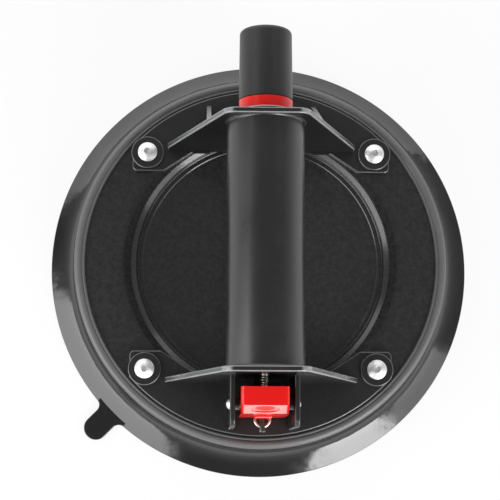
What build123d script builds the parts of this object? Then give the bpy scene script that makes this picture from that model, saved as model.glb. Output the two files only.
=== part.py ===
from build123d import *
from math import asin, atan2, cos, radians, sin, sqrt
import os

# Floor tile suction lifter: a round rubber vacuum pad on a pressed steel plate, with a moulded
# handle screwed across it. The grip is a hollow barrel that houses a hand pump, and a sprung red
# lever at its far end opens the vent that lets the pad go.
#
# Millimetres, +Z up. The origin is the pad's centre on the tile. +Y runs along the barrel
# towards the pump's plunger, and the release lever is at -Y.

# Pad, the driving size of the whole tool
pad_diameter = 210.0
pad_edge_height = 1.5
sealing_land_width = 12.0
seal_groove_width = 1.2
seal_groove_depth = 0.7
seal_groove_insets = (4.6, 8.2)
cup_depth = 10.5
cup_roof_inset = 24.0
cup_wall_share = (0.18, 0.42, 0.5, 0.9)
lip_inset = 18.6
lip_height = 0.8
lip_crown = 0.7
lip_groove_depth = 0.4
plate_rim_cover = 1.7
bead_inset = 15.4
bead_radius = 2.2
bead_rise = 2.1
skirt_share = (0.42, 0.13, 0.26)

# Pull tab on the pad's edge
tab_direction = 225.0
tab_half_width = 6.0
tab_length = 15.5
tab_thickness = 1.8
tab_underside = 0.5
tab_root_radius = 3.5
tab_root_depth = 2.5

# Pressed backing plate
plate_top = 22.5
plate_thickness = 2.5
shoulder_inset = 17.9
ledge_run = 4.4
ledge_drop = 2.0
roll_run = 2.9
roll_drop = 2.1
step_run = 0.3
disc_drop = 6.0
disc_coin_run = 2.7
disc_coin_depth = 0.4
press_bend_radius = 0.9
roll_bend_radius = 1.6
shoulder_bend_radius = 5.0

# Screws and their nuts
bolt_inset = 8.7
bolt_direction = 43.6
screw_radius = 2.5
screw_clearance = 0.25
screw_head_radius = 4.75
screw_head_height = 2.75
screw_head_crown = 2.0
socket_across_flats = 3.2
socket_depth = 1.6
nut_across_flats = 8.0
nut_height = 4.0
nut_thread_clearance = 0.05
nut_pocket_clearance = 0.7
screw_tail = 0.5

# Handle's feet
foot_rim_gap = 0.6
foot_thickness = 3.0
foot_edge_round = 0.7
bolt_pad_side = 7.5
bolt_pad_front = 9.0
bolt_pad_back = 7.9
bolt_pad_corner = 2.4
foot_diagonal_run = 14.4
foot_diagonal_rise = 9.6
foot_heel_run = 8.4
boss_radius = 8.0
boss_height = 2.0
boss_edge_round = 0.5
ejector_mark_radius = 2.2
ejector_mark_depth = 0.15
ejector_marks_from_ear = ((4.5, 2.8), (5.4, 16.3))
ejector_mark_from_bolt = (9.3, 3.6)

# End walls that carry the barrel
south_foot_depth = 25.5
north_foot_depth = 28.1
wall_thickness = 2.6
wall_crest = 1.5
wall_shoulder = 0.3
wall_corner_radius = 7.0
wall_edge_round = 0.7
wing_end_gap = 9.9
wing_end_height = 4.1
wing_end_radius = 2.0
gusset_offset = 26.0
gusset_thickness = 2.2
gusset_reach = 20.3
gusset_height = 50.0

# Barrel
barrel_axis_height = 79.9
barrel_radius = 17.8
bore_radius = 14.5
barrel_end_thickness = 2.6
neck_radius = 1.0

# Air duct, port and release vent
plenum_depth = 4.0
duct_radius = 1.8
duct_wall = 2.6
duct_half_width = 5.5
duct_corner_radius = 2.2
port_ring_height = 1.4
port_ring_radius = 4.0
port_ring_bore = 2.6
port_radius = 2.5
filter_radius = 7.8
filter_thickness = 2.0
filter_clearance = 0.2
vent_height = 44.0
vent_radius = 1.2
nozzle_radius = 3.4
nozzle_length = 3.0

# Check valve at the pump's inlet
seat_clearance = 0.05
seat_thickness = 4.0
seat_skirt_wall = 2.0
seat_port_count = 4
seat_port_radius = 1.0
seat_port_circle = 4.0
valve_stem_radius = 1.5
valve_stem_clearance = 0.1
valve_bulb_radius = 2.0
valve_bulb_length = 1.4
valve_cap_radius = 6.5
valve_cap_thickness = 1.1
valve_cap_rise = 0.8

# Pump: plunger, piston and return spring
plunger_radius = 12.4
plunger_wall = 2.0
plunger_clearance = 0.08
plunger_reach = 38.4
plunger_neck_radius = 10.9
plunger_stroke = 36.0
guide_length = 7.0
guide_clearance = 0.08
stop_clearance = 0.2
tube_web = 6.0
band_width = 4.8
band_stand_out = 0.9
cap_end_thickness = 3.0
cap_end_round = 2.0
cap_taper = 0.3
cap_mouth_chamfer = 0.5
cap_bore_clearance = 0.05
piston_length = 5.0
piston_clearance = 0.2
piston_bore_gap = 8.5
piston_groove_width = 2.4
piston_groove_depth = 2.2
piston_seal_clearance = 0.06
piston_screw_radius = 2.0
piston_screw_head_radius = 3.8
piston_screw_head_height = 2.2
piston_screw_length = 8.0
return_coil_radius = 10.8
return_wire_radius = 0.7
return_turns = 5.5

# Collar that closes the barrel's mouth
collar_flange_radius = 15.2
collar_flange_thickness = 1.6
collar_flange_round = 0.5
collar_length = 8.0
collar_clearance = 0.05
wiper_width = 2.0
wiper_depth = 1.2
wiper_inset = 2.0
wiper_clearance = 0.06

# Bay for the release lever
bay_recess = 1.0
bay_rim = 3.2
cheek_gap = 2.45
cheek_thickness = 2.3
cheek_top = 76.0
cheek_reach = 23.1
cheek_lean = 0.7
cheek_nose_radius = 4.0
cheek_edge_round = 0.6
ear_hub_radius = 2.6
ear_hub_gap = 0.3

# Release lever and its pin
lever_half_width = 10.95
lever_gap = 5.1
lever_depth = 11.9
lever_top = 79.5
lever_bottom = 37.5
lever_flat = 8.4
lever_slope_drop = 4.3
lever_side_round = 2.2
lever_wall = 2.0
thumb_recess_half_length = 6.3
thumb_recess_half_width = 2.2
thumb_recess_depth = 0.9
lug_half_width = 3.9
lug_stand_out = 1.0
lug_half_height = 9.0
lug_drop = 4.0
pin_reach = 12.1
pin_height = 62.0
pin_radius = 1.6
pin_clearance = 0.05
pin_hub_wall = 2.2
pin_head_radius = 2.4
pin_head_height = 1.6
pin_cap_wall = 0.5
pin_cap_height = 1.3
pin_tail = 0.45

# Lever spring
lever_coil_radius = 1.65
lever_wire_radius = 0.35
lever_coil_turns = 4.5
lever_spring_drop = 7.0
spring_peg_radius = 0.9
spring_peg_length = 1.7

# Vent plug with its stem and wire clip
plug_radius = 4.0
plug_anchor_radius = 2.6
plug_anchor_thickness = 0.8
plug_anchor_depth = 2.0
stem_radius = 1.6
stem_clearance = 0.05
stem_sleeve_wall = 1.6
stem_reach = 6.2
stem_tip_round = 0.5
clip_wire_radius = 0.65
clip_bow_radius = 3.6
clip_hole_clearance = 0.5

# Overrun of the cutting tools past the faces that they cut
cut_overrun = 1.0

# Places that follow from the sizes above
pad_radius = pad_diameter / 2
lip_radius = pad_radius - lip_inset
plate_radius = lip_radius + plate_rim_cover
plate_bottom = plate_top - plate_thickness
shoulder_radius = lip_radius - shoulder_inset
ledge_radius = shoulder_radius - ledge_run
ledge_top = plate_top - ledge_drop
roll_radius = ledge_radius - roll_run
roll_top = ledge_top - roll_drop
disc_radius = roll_radius - step_run
disc_top = plate_top - disc_drop
coin_radius = disc_radius - disc_coin_run
disc_floor = disc_top - disc_coin_depth
disc_bottom = disc_top - plate_thickness
roll_corners = [
    (disc_radius, disc_top),
    (roll_radius, roll_top),
    (ledge_radius, ledge_top),
    (shoulder_radius, plate_top),
]

bolt_circle_radius = lip_radius - bolt_inset
bolt_x = bolt_circle_radius * cos(radians(bolt_direction))
bolt_y = bolt_circle_radius * sin(radians(bolt_direction))
bolt_places = [(sx * bolt_x, sy * bolt_y) for sx in (-1, 1) for sy in (-1, 1)]

foot_radius = lip_radius - foot_rim_gap
foot_top = plate_top + foot_thickness
boss_top = foot_top + boss_height
south_face = -(foot_radius - south_foot_depth)
south_inner = south_face + wall_thickness
north_face = foot_radius - north_foot_depth
north_inner = north_face - wall_thickness
wall_top = barrel_axis_height + barrel_radius + wall_crest
bay_face = south_face + bay_recess

chamber_end = south_inner + barrel_end_thickness
seat_back = chamber_end + plenum_depth
seat_face = seat_back + seat_thickness
duct_y = chamber_end + plenum_depth / 2
duct_foot = disc_floor + port_ring_height

piston_face = seat_face + plunger_stroke + piston_bore_gap
tube_end = piston_face + piston_length
collar_end = north_face - collar_length
band_start = north_face + collar_flange_thickness + stop_clearance + band_stand_out
cap_start = band_start + band_width
plunger_end = band_start + plunger_reach
collar_bore = plunger_radius + plunger_clearance

cheek_inner = lever_half_width + cheek_gap
cheek_outer = cheek_inner + cheek_thickness
marks = [(cheek_outer + x, south_face - y) for x, y in ejector_marks_from_ear]
marks.append((bolt_x - ejector_mark_from_bolt[0], south_face - ejector_mark_from_bolt[1]))
ejector_marks = [(side * x, y) for side in (-1, 1) for x, y in marks]
lever_back = south_face - lever_gap
lever_spring_height = lever_top - lever_spring_drop
lever_front = lever_back - lever_depth
pin_y = south_face - pin_reach
nozzle_face = bay_face - nozzle_length
anchor_y = (nozzle_face - plug_anchor_depth - plug_anchor_thickness, nozzle_face - plug_anchor_depth)
lug_face = lever_front - lug_stand_out
stem_end = lug_face - stem_reach
clip_pass = lug_face - clip_bow_radius

barrel_axis = Axis((0, 0, barrel_axis_height), (0, 1, 0))
barrel_plane = Plane(origin=(0, 0, barrel_axis_height), x_dir=(0, 1, 0), z_dir=(1, 0, 0))
from_base = (Align.CENTER, Align.CENTER, Align.MIN)


def block(x, y, z):
    """A box between two x, two y and two z values."""
    size = Box(x[1] - x[0], y[1] - y[0], z[1] - z[0], align=(Align.MIN, Align.MIN, Align.MIN))
    return Pos(x[0], y[0], z[0]) * size


def post(place, z, radius):
    """A cylinder along Z between two heights."""
    return Pos(place[0], place[1], z[0]) * Cylinder(radius, z[1] - z[0], align=from_base)


def rod_along_x(y, z, x, radius):
    """A cylinder along X between two x values."""
    return Pos(x[0], y, z) * Rot(0, 90, 0) * Cylinder(radius, x[1] - x[0], align=from_base)


def rod_along_y(x, z, y, radius):
    """A cylinder along Y between two y values."""
    return Pos(x, y[0], z) * Rot(-90, 0, 0) * Cylinder(radius, y[1] - y[0], align=from_base)


def on_barrel(y, radius):
    """A cylinder on the barrel's axis between two y values."""
    return rod_along_y(0, barrel_axis_height, y, radius)


def turned_on_barrel(outline):
    """A solid turned about the barrel's axis from an outline of (y, radius)."""
    return revolve(barrel_plane * make_face(outline), barrel_axis)


def turned_on_pad(outline):
    """A solid turned about the pad's axis from an outline of (radius, height)."""
    return revolve(Plane.XZ * make_face(outline), Axis.Z)


def plate_underside():
    """The plate's lower face, which the pad follows: each corner moved through the sheet."""
    upper = [(0, disc_top)] + roll_corners + [(plate_radius, plate_top)]
    lower = [(0, disc_bottom)]
    for before, corner, after in zip(upper, upper[1:], upper[2:]):
        rise_in = atan2(corner[1] - before[1], corner[0] - before[0])
        rise_out = atan2(after[1] - corner[1], after[0] - corner[0])
        lean = (rise_in + rise_out) / 2
        reach = plate_thickness / cos((rise_out - rise_in) / 2)
        lower.append((corner[0] + reach * sin(lean), corner[1] - reach * cos(lean)))
    lower.append((plate_radius, plate_bottom))
    return FilletPolyline(*lower, radius=press_bend_radius)


def pad_skirt():
    """The pad's outside, from the plate's rim over the lip and bead to the thin edge."""
    crest = plate_top + bead_rise
    bead_z = crest - bead_radius
    bead_r = pad_radius - bead_inset
    groove_z = plate_top + lip_height + lip_groove_depth
    groove_r = bead_r - sqrt(bead_radius**2 - (groove_z - bead_z)**2)
    groove = (groove_r, groove_z)
    lip = (lip_radius, plate_top + lip_height)
    lip_top = ((lip_radius + groove_r) / 2, plate_top + lip_height + lip_crown)
    bead_out = (bead_r + bead_radius, bead_z)
    edge = (pad_radius, pad_edge_height)
    run = pad_radius - bead_out[0]
    fall = bead_z - pad_edge_height
    curve = Bezier(
        bead_out,
        (bead_out[0], pad_edge_height + fall * skirt_share[0]),
        (bead_out[0] + run * skirt_share[1], pad_edge_height + fall * skirt_share[2]),
        edge,
    )
    return [
        Line((plate_radius, plate_bottom), (plate_radius, plate_top)),
        Line((plate_radius, plate_top), (lip_radius, plate_top)),
        Line((lip_radius, plate_top), lip),
        ThreePointArc(lip, lip_top, groove),
        ThreePointArc(groove, (bead_r, crest), bead_out),
        curve,
        Line(edge, (pad_radius, 0)),
    ]


def pull_tab():
    """A flat finger tab whose sides flow into the pad's edge by two hollow arcs."""
    arc_centre_y = tab_half_width + tab_root_radius
    arc_centre_x = sqrt((pad_radius + tab_root_radius)**2 - arc_centre_y**2)
    toward = pad_radius / (pad_radius + tab_root_radius)
    start = (arc_centre_x * toward, arc_centre_y * toward)
    side = (arc_centre_x, tab_half_width)
    tip = pad_radius + tab_length
    tip_centre = tip - tab_half_width
    centre = Vector(arc_centre_x, arc_centre_y)
    towards_tab = (Vector(*start) + Vector(*side)) / 2 - centre
    middle = centre + towards_tab.normalized() * tab_root_radius
    root = start[0] - tab_root_depth
    outline = [
        ThreePointArc(start, (middle.X, middle.Y), side),
        Line(side, (tip_centre, tab_half_width)),
        ThreePointArc((tip_centre, tab_half_width), (tip, 0), (tip_centre, -tab_half_width)),
        Line((tip_centre, -tab_half_width), (side[0], -side[1])),
        ThreePointArc((side[0], -side[1]), (middle.X, -middle.Y), (start[0], -start[1])),
        Line((start[0], -start[1]), (root, -start[1])),
        Line((root, -start[1]), (root, start[1])),
        Line((root, start[1]), start),
    ]
    tab = extrude(make_face(outline), tab_thickness)
    return Rot(0, 0, tab_direction) * Pos(0, 0, tab_underside) * tab


def suction_pad():
    """The rubber cup: it grips the plate's rim and seals on a flat ring below its skirt."""
    land_inner = pad_radius - sealing_land_width
    roof = pad_radius - cup_roof_inset
    run = land_inner - roof
    hollow = Bezier(
        (land_inner, 0),
        (land_inner - run * cup_wall_share[0], cup_depth * cup_wall_share[1]),
        (land_inner - run * cup_wall_share[2], cup_depth * cup_wall_share[3]),
        (roof, cup_depth),
    )
    outline = [plate_underside()] + pad_skirt() + [
        Line((pad_radius, 0), (land_inner, 0)),
        hollow,
        Line((roof, cup_depth), (0, cup_depth)),
        Line((0, cup_depth), (0, disc_bottom)),
    ]
    pad = turned_on_pad(outline)
    for inset in seal_groove_insets:
        outer = post((0, 0), (-cut_overrun, seal_groove_depth), pad_radius - inset)
        inner = post((0, 0), (-cut_overrun, seal_groove_depth), pad_radius - inset - seal_groove_width)
        pad -= outer - inner
    pocket_radius = nut_across_flats / sqrt(3) + nut_pocket_clearance
    pocket_floor = plate_bottom - nut_height - nut_pocket_clearance
    for place in bolt_places:
        pad -= post(place, (pocket_floor, plate_bottom + cut_overrun), pocket_radius)
    pad -= post((0, duct_y), (0, disc_bottom + cut_overrun), port_radius)
    pad -= post((0, duct_y), (0, cup_depth + filter_thickness), filter_radius + filter_clearance)
    return pad + pull_tab()


def air_filter():
    """A foam disc in the recess round the port, which keeps grit out of the pump."""
    return post((0, duct_y), (cup_depth, cup_depth + filter_thickness), filter_radius)


def backing_plate():
    """The pressed plate: a flat ring for the feet, a rolled slope and a sunken disc."""
    coin = [(0, disc_floor), (coin_radius, disc_floor), (coin_radius + disc_coin_depth, disc_top)]
    points = coin + roll_corners + [(plate_radius, plate_top)]
    bends = [disc_coin_depth / 2] * 2 + [press_bend_radius, roll_bend_radius]
    bends += [shoulder_bend_radius] * 2
    outline = [
        FilletPolyline(*points, radius=bends),
        Line((plate_radius, plate_top), (plate_radius, plate_bottom)),
        plate_underside(),
        Line((0, disc_bottom), (0, disc_floor)),
    ]
    plate = turned_on_pad(outline)
    for place in bolt_places:
        hole = (plate_bottom - cut_overrun, plate_top + cut_overrun)
        plate -= post(place, hole, screw_radius + screw_clearance)
    return plate - post((0, duct_y), (disc_bottom - cut_overrun, disc_top + cut_overrun), port_radius)


def foot(side):
    """One foot: a plate that fills the space between its end wall and the pad's lip."""
    wall = south_inner if side < 0 else north_inner
    pad_x = bolt_x + bolt_pad_side
    pad_y = side * (bolt_y - bolt_pad_front)
    diagonal = bolt_x - bolt_pad_back
    throat = diagonal - foot_diagonal_run
    throat_y = pad_y + side * foot_diagonal_rise
    far = side * pad_radius
    heel = throat - foot_heel_run
    half = [(heel, wall), (heel, throat_y), (throat, throat_y)]
    half += [(diagonal, pad_y), (pad_x, pad_y), (pad_x, far)]
    outline = half + [(-x, y) for x, y in reversed(half)]
    face = make_face(Polyline(*outline, close=True))
    face = face & Circle(foot_radius)
    corners = [v for v in face.vertices() if abs(v.Y - pad_y) < foot_thickness]
    corners = [v for v in corners if abs(v.X) > bolt_x]
    face = fillet(corners, bolt_pad_corner)
    plate = Pos(0, 0, plate_top) * extrude(face, foot_thickness)
    rim = plate.edges().group_by(Axis.Z)[-1]
    rim = [e for e in rim if abs(e.center().Y - wall) > wall_thickness / 2]
    return fillet(rim, foot_edge_round)


def end_wall(low, high):
    """An upright wall with two wings that slope down to the feet."""
    top_x = barrel_radius + wall_shoulder
    wing_x = bolt_x - wing_end_gap
    wing_z = foot_top + wing_end_height
    half = [(wing_x, plate_top), (wing_x, wing_z), (top_x, wall_top)]
    outline = half + [(-x, z) for x, z in reversed(half)]
    face = make_face(Polyline(*outline, close=True))
    tops = [v for v in face.vertices() if v.Y > barrel_axis_height]
    face = fillet(tops, wall_corner_radius)
    ends = [v for v in face.vertices() if abs(v.Y - wing_z) < wing_end_radius]
    face = fillet(ends, wing_end_radius)
    wall = extrude(Plane.XZ.offset(-high) * face, high - low)
    rim = wall.edges() - wall.edges().filter_by(Axis.Y)
    rim = [e for e in rim if e.center().Z > plate_top]
    return fillet(rim, wall_edge_round)


def gussets():
    """Two thin webs that brace the plunger's end wall against its foot."""
    outline = Polyline(
        (north_inner, plate_top),
        (north_face + gusset_reach, plate_top),
        (north_face + gusset_reach, foot_top),
        (north_face, foot_top + gusset_height),
        (north_inner, foot_top + gusset_height),
        close=True,
    )
    face = make_face(outline)
    webs = []
    for x in (-gusset_offset, gusset_offset):
        webs.append(extrude(Plane.YZ.offset(x - gusset_thickness / 2) * face, gusset_thickness))
    return webs


def cheek(side):
    """An ear that carries one end of the lever's pin."""
    nose = south_face - cheek_reach
    outline = Polyline(
        (south_inner, plate_top),
        (nose + cheek_lean, plate_top),
        (nose, cheek_top),
        (south_inner, cheek_top),
        close=True,
    )
    face = make_face(outline)
    corner = [v for v in face.vertices() if v.Y > pin_height and v.X < pin_y]
    face = fillet(corner, cheek_nose_radius)
    start = cheek_inner if side > 0 else -cheek_outer
    ear = extrude(Plane.YZ.offset(start) * face, cheek_thickness)
    rim = ear.edges() - ear.edges().filter_by(Axis.X)
    rim = [e for e in rim if e.center().Y < south_face and e.center().Z > foot_top]
    return fillet(rim, cheek_edge_round)


def barrel_shell():
    """The grip's tube, with a small hollow round where it meets each wall."""
    outer = barrel_radius + neck_radius
    turn = neck_radius * (1 - sqrt(0.5))
    outline = [
        Line((south_inner, 0), (south_inner, outer)),
        ThreePointArc(
            (south_inner, outer),
            (south_inner + turn, barrel_radius + turn),
            (south_inner + neck_radius, barrel_radius),
        ),
        Line((south_inner + neck_radius, barrel_radius), (north_inner - neck_radius, barrel_radius)),
        ThreePointArc(
            (north_inner - neck_radius, barrel_radius),
            (north_inner - turn, barrel_radius + turn),
            (north_inner, outer),
        ),
        Line((north_inner, outer), (north_inner, 0)),
        Line((north_inner, 0), (south_inner, 0)),
    ]
    return turned_on_barrel(outline)


def duct_block():
    """The upright duct below the barrel, which carries air from the pad to the pump."""
    front = duct_y + duct_radius + duct_wall
    top = barrel_axis_height - bore_radius
    shape = block((-duct_half_width, duct_half_width), (south_inner, front), (duct_foot, top))
    corners = [e for e in shape.edges().filter_by(Axis.Z) if e.center().Y > duct_y]
    return fillet(corners, duct_corner_radius)


def handle_body():
    """The moulded handle: feet, end walls, barrel, duct, lever ears and vent nozzle in one."""
    body = foot(-1) + foot(1)
    body += end_wall(south_face, south_inner)
    body += end_wall(north_inner, north_face)
    for web in gussets():
        body += web
    body += cheek(-1)
    body += cheek(1)
    body += barrel_shell()
    body += duct_block()
    for place in bolt_places:
        boss = post(place, (plate_top, boss_top), boss_radius)
        boss = fillet(boss.edges().group_by(Axis.Z)[-1], boss_edge_round)
        body += boss
    recess_y = (south_face - cut_overrun, bay_face)
    body -= block((-cheek_inner, cheek_inner), recess_y, (foot_top, wall_top - bay_rim))
    body += rod_along_y(0, vent_height, (nozzle_face, south_inner), nozzle_radius)
    peg = (bay_face - spring_peg_length, south_inner)
    body += rod_along_y(0, lever_spring_height, peg, spring_peg_radius)
    body -= on_barrel((chamber_end, north_face + cut_overrun), bore_radius)
    body -= post((0, duct_y), (duct_foot - cut_overrun, barrel_axis_height), duct_radius)
    body -= rod_along_y(0, vent_height, (nozzle_face - cut_overrun, duct_y), vent_radius)
    hub = (lever_half_width + ear_hub_gap, cheek_inner + cheek_thickness / 2)
    body += rod_along_x(pin_y, pin_height, hub, ear_hub_radius)
    body += rod_along_x(pin_y, pin_height, (-hub[1], -hub[0]), ear_hub_radius)
    reach = cheek_outer + cut_overrun
    body -= rod_along_x(pin_y, pin_height, (-reach, reach), pin_radius + pin_clearance)
    for x, y in ejector_marks:
        mark = (foot_top - ejector_mark_depth, foot_top + ejector_mark_depth)
        body -= post((x, y), mark, ejector_mark_radius)
    for place in bolt_places:
        hole = (plate_top - cut_overrun, boss_top + cut_overrun)
        body -= post(place, hole, screw_radius + screw_clearance)
    return body


def cap_middle(radius, height):
    """The point halfway round a round cap's profile, as (radius, height)."""
    ball = (radius**2 + height**2) / (2 * height)
    half_turn = asin(radius / ball) / 2
    return (ball * sin(half_turn), height - ball * (1 - cos(half_turn)))


def dome(radius, height):
    """A round cap that stands on z = 0."""
    outline = [
        ThreePointArc((radius, 0), cap_middle(radius, height), (0, height)),
        Line((0, height), (0, 0)),
        Line((0, 0), (radius, 0)),
    ]
    return turned_on_pad(outline)


def button_screw():
    """A round-headed screw with a hexagon socket, its seat at z = 0."""
    rise = screw_head_height - screw_head_crown
    head = Cylinder(screw_head_radius, rise, align=from_base)
    head += Pos(0, 0, rise) * dome(screw_head_radius, screw_head_crown)
    socket = extrude(RegularPolygon(socket_across_flats / sqrt(3), 6), socket_depth + cut_overrun)
    head -= Pos(0, 0, screw_head_height - socket_depth) * socket
    length = boss_top - (plate_bottom - nut_height) + screw_tail
    return head + Pos(0, 0, -length) * Cylinder(screw_radius, length, align=from_base)


def handle_screws():
    """Four screws that hold the handle and the plate together."""
    screw = button_screw()
    return [Pos(x, y, boss_top) * screw for x, y in bolt_places]


def plate_nuts():
    """Four hexagon nuts under the plate, each in its pocket in the rubber."""
    nut = extrude(RegularPolygon(nut_across_flats / sqrt(3), 6), nut_height)
    nut -= Cylinder(screw_radius + nut_thread_clearance, nut_height, align=from_base)
    return [Pos(x, y, plate_bottom - nut_height) * nut for x, y in bolt_places]


def port_seal_ring():
    """The rubber ring between the duct's foot and the plate."""
    height = (disc_floor, duct_foot)
    ring = post((0, duct_y), height, port_ring_radius)
    return ring - post((0, duct_y), height, port_ring_bore)


def check_valve_seat():
    """The inlet's seat: a drilled disc on a skirt that leaves a plenum over the duct."""
    radius = bore_radius - seat_clearance
    seat = on_barrel((chamber_end, seat_face), radius)
    seat -= on_barrel((chamber_end, seat_back), radius - seat_skirt_wall)
    seat -= on_barrel((seat_back, seat_face), valve_stem_radius + valve_stem_clearance)
    floor = barrel_axis_height - bore_radius - cut_overrun
    gate = floor + seat_skirt_wall + seat_port_circle
    seat -= block((-duct_radius, duct_radius), (chamber_end, seat_back), (floor, gate))
    for number in range(seat_port_count):
        turn = radians(number * 360 / seat_port_count)
        x = seat_port_circle * cos(turn)
        z = barrel_axis_height + seat_port_circle * sin(turn)
        seat -= rod_along_y(x, z, (seat_back, seat_face), seat_port_radius)
    return seat


def check_valve_flap():
    """A rubber umbrella over the seat's holes, held by its bulb behind the seat."""
    bulb_end = seat_back - valve_bulb_length
    rim = seat_face + valve_cap_thickness
    crown = rim + valve_cap_rise
    middle = cap_middle(valve_cap_radius, valve_cap_rise)
    outline = [
        Line((bulb_end, 0), (bulb_end, valve_stem_radius)),
        Line((bulb_end, valve_stem_radius), (seat_back, valve_bulb_radius)),
        Line((seat_back, valve_bulb_radius), (seat_back, valve_stem_radius)),
        Line((seat_back, valve_stem_radius), (seat_face, valve_stem_radius)),
        Line((seat_face, valve_stem_radius), (seat_face, valve_cap_radius)),
        Line((seat_face, valve_cap_radius), (rim, valve_cap_radius)),
        ThreePointArc((rim, valve_cap_radius), (rim + middle[1], middle[0]), (crown, 0)),
        Line((crown, 0), (bulb_end, 0)),
    ]
    return turned_on_barrel(outline)


def coil(mean_radius, wire_radius, length, turns):
    """A compression spring whose wire just touches z = 0 and z = length."""
    rise = length - 2 * wire_radius
    path = Helix(rise / turns, rise, mean_radius)
    section = Plane(origin=path @ 0, z_dir=path % 0) * Circle(wire_radius)
    return Pos(0, 0, wire_radius) * sweep(section, path)


def return_spring():
    """The spring that pushes the plunger out again."""
    spring = coil(return_coil_radius, return_wire_radius, piston_face - seat_face, return_turns)
    return Pos(0, seat_face, barrel_axis_height) * Rot(-90, 0, 0) * spring


def lever_spring():
    """The small spring that keeps the vent plug shut."""
    spring = coil(lever_coil_radius, lever_wire_radius, bay_face - lever_back, lever_coil_turns)
    return Pos(0, lever_back, lever_spring_height) * Rot(-90, 0, 0) * spring


def barrel_collar():
    """The ring that closes the barrel's mouth and guides the plunger."""
    lip = north_face + collar_flange_thickness
    spigot = bore_radius - collar_clearance
    flange = on_barrel((north_face, lip), collar_flange_radius)
    rim = [e for e in flange.edges() if e.center().Y > lip - collar_flange_round]
    flange = fillet(rim, collar_flange_round)
    collar = flange + on_barrel((collar_end, north_face), spigot)
    collar -= on_barrel((collar_end - cut_overrun, lip + cut_overrun), collar_bore)
    groove_end = north_face - wiper_inset
    return collar - on_barrel((groove_end - wiper_width, groove_end), collar_bore + wiper_depth)


def wiper_ring():
    """The felt ring inside the collar that keeps dust off the pump."""
    end = north_face - wiper_inset
    ring = on_barrel((end - wiper_width, end), collar_bore + wiper_depth)
    return ring - on_barrel((end - wiper_width, end), plunger_radius + wiper_clearance)


def plunger_tube():
    """The pump rod: a hollow tube with a guide at its stop and a web for the piston."""
    stop = collar_end - stop_clearance
    tube = on_barrel((tube_end, band_start), plunger_radius)
    tube += on_barrel((band_start, plunger_end - cap_end_thickness), plunger_neck_radius)
    tube += on_barrel((stop - guide_length, stop), bore_radius - guide_clearance)
    tube += on_barrel((tube_end, tube_end + guide_length), bore_radius - guide_clearance)
    hollow = (tube_end + tube_web, plunger_end)
    tube -= on_barrel(hollow, plunger_neck_radius - plunger_wall)
    pilot = (tube_end - cut_overrun, tube_end + tube_web + cut_overrun)
    return tube - on_barrel(pilot, piston_screw_radius + pin_clearance)


def indicator_band():
    """The red ring that shows while the vacuum is low."""
    ring = on_barrel((band_start, cap_start), plunger_radius)
    return ring - on_barrel((band_start, cap_start), plunger_neck_radius)


def plunger_cap():
    """The thimble that the thumb presses, slightly tapered, with a rounded end."""
    tip_radius = plunger_radius - cap_taper
    turn = cap_end_round * (1 - sqrt(0.5))
    mouth = (cap_start + cap_mouth_chamfer, plunger_radius)
    outline = [
        Line((cap_start, 0), (cap_start, plunger_radius - cap_mouth_chamfer)),
        Line((cap_start, plunger_radius - cap_mouth_chamfer), mouth),
        Line(mouth, (plunger_end - cap_end_round, tip_radius)),
        ThreePointArc(
            (plunger_end - cap_end_round, tip_radius),
            (plunger_end - turn, tip_radius - turn),
            (plunger_end, tip_radius - cap_end_round),
        ),
        Line((plunger_end, tip_radius - cap_end_round), (plunger_end, 0)),
        Line((plunger_end, 0), (cap_start, 0)),
    ]
    cap = turned_on_barrel(outline)
    socket = (cap_start - cut_overrun, plunger_end - cap_end_thickness)
    return cap - on_barrel(socket, plunger_neck_radius + cap_bore_clearance)


def seal_groove():
    """Where the piston's seal sits along the barrel."""
    middle = piston_face + piston_length / 2
    return (middle - piston_groove_width / 2, middle + piston_groove_width / 2)


def piston_head():
    """The piston: a grooved disc screwed to the rod's inner end."""
    radius = bore_radius - piston_clearance
    groove = on_barrel(seal_groove(), radius + cut_overrun)
    groove -= on_barrel(seal_groove(), radius - piston_groove_depth)
    head = on_barrel((piston_face, tube_end), radius) - groove
    head -= on_barrel((piston_face, tube_end), piston_screw_radius + pin_clearance)
    sink = (piston_face - cut_overrun, piston_face + piston_screw_head_height)
    return head - on_barrel(sink, piston_screw_head_radius + pin_clearance)


def piston_seal():
    """The ring that slides on the bore."""
    inner = bore_radius - piston_clearance - piston_groove_depth
    ring = on_barrel(seal_groove(), bore_radius - piston_seal_clearance)
    return ring - on_barrel(seal_groove(), inner)


def piston_screw():
    """The screw that clamps the piston to the rod."""
    seat = piston_face + piston_screw_head_height
    head = on_barrel((piston_face, seat), piston_screw_head_radius)
    return head + on_barrel((seat, seat + piston_screw_length), piston_screw_radius)


def lever_profile(inset):
    """The lever's side view, drawn smaller by a wall's thickness for its hollow."""
    back = lever_back - inset
    front = lever_front + inset
    top = lever_top - inset
    break_y = lever_back - lever_flat
    outline = Polyline(
        (back, lever_bottom),
        (back, top),
        (break_y, top),
        (front, top - lever_slope_drop),
        (front, lever_bottom),
        close=True,
    )
    return make_face(outline)


def thumb_recess():
    """A shallow oval hollow in the lever's sloping face."""
    run = lever_depth - lever_flat
    slope = sqrt(run**2 + lever_slope_drop**2)
    middle_y = lever_front + run / 2
    middle_z = lever_top - lever_slope_drop / 2
    face = Plane(
        origin=(0, middle_y, middle_z),
        x_dir=(1, 0, 0),
        z_dir=(0, -lever_slope_drop / slope, run / slope),
    )
    size = (thumb_recess_half_length, thumb_recess_half_width, thumb_recess_depth)
    return face * scale(Sphere(1), by=size)


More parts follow.
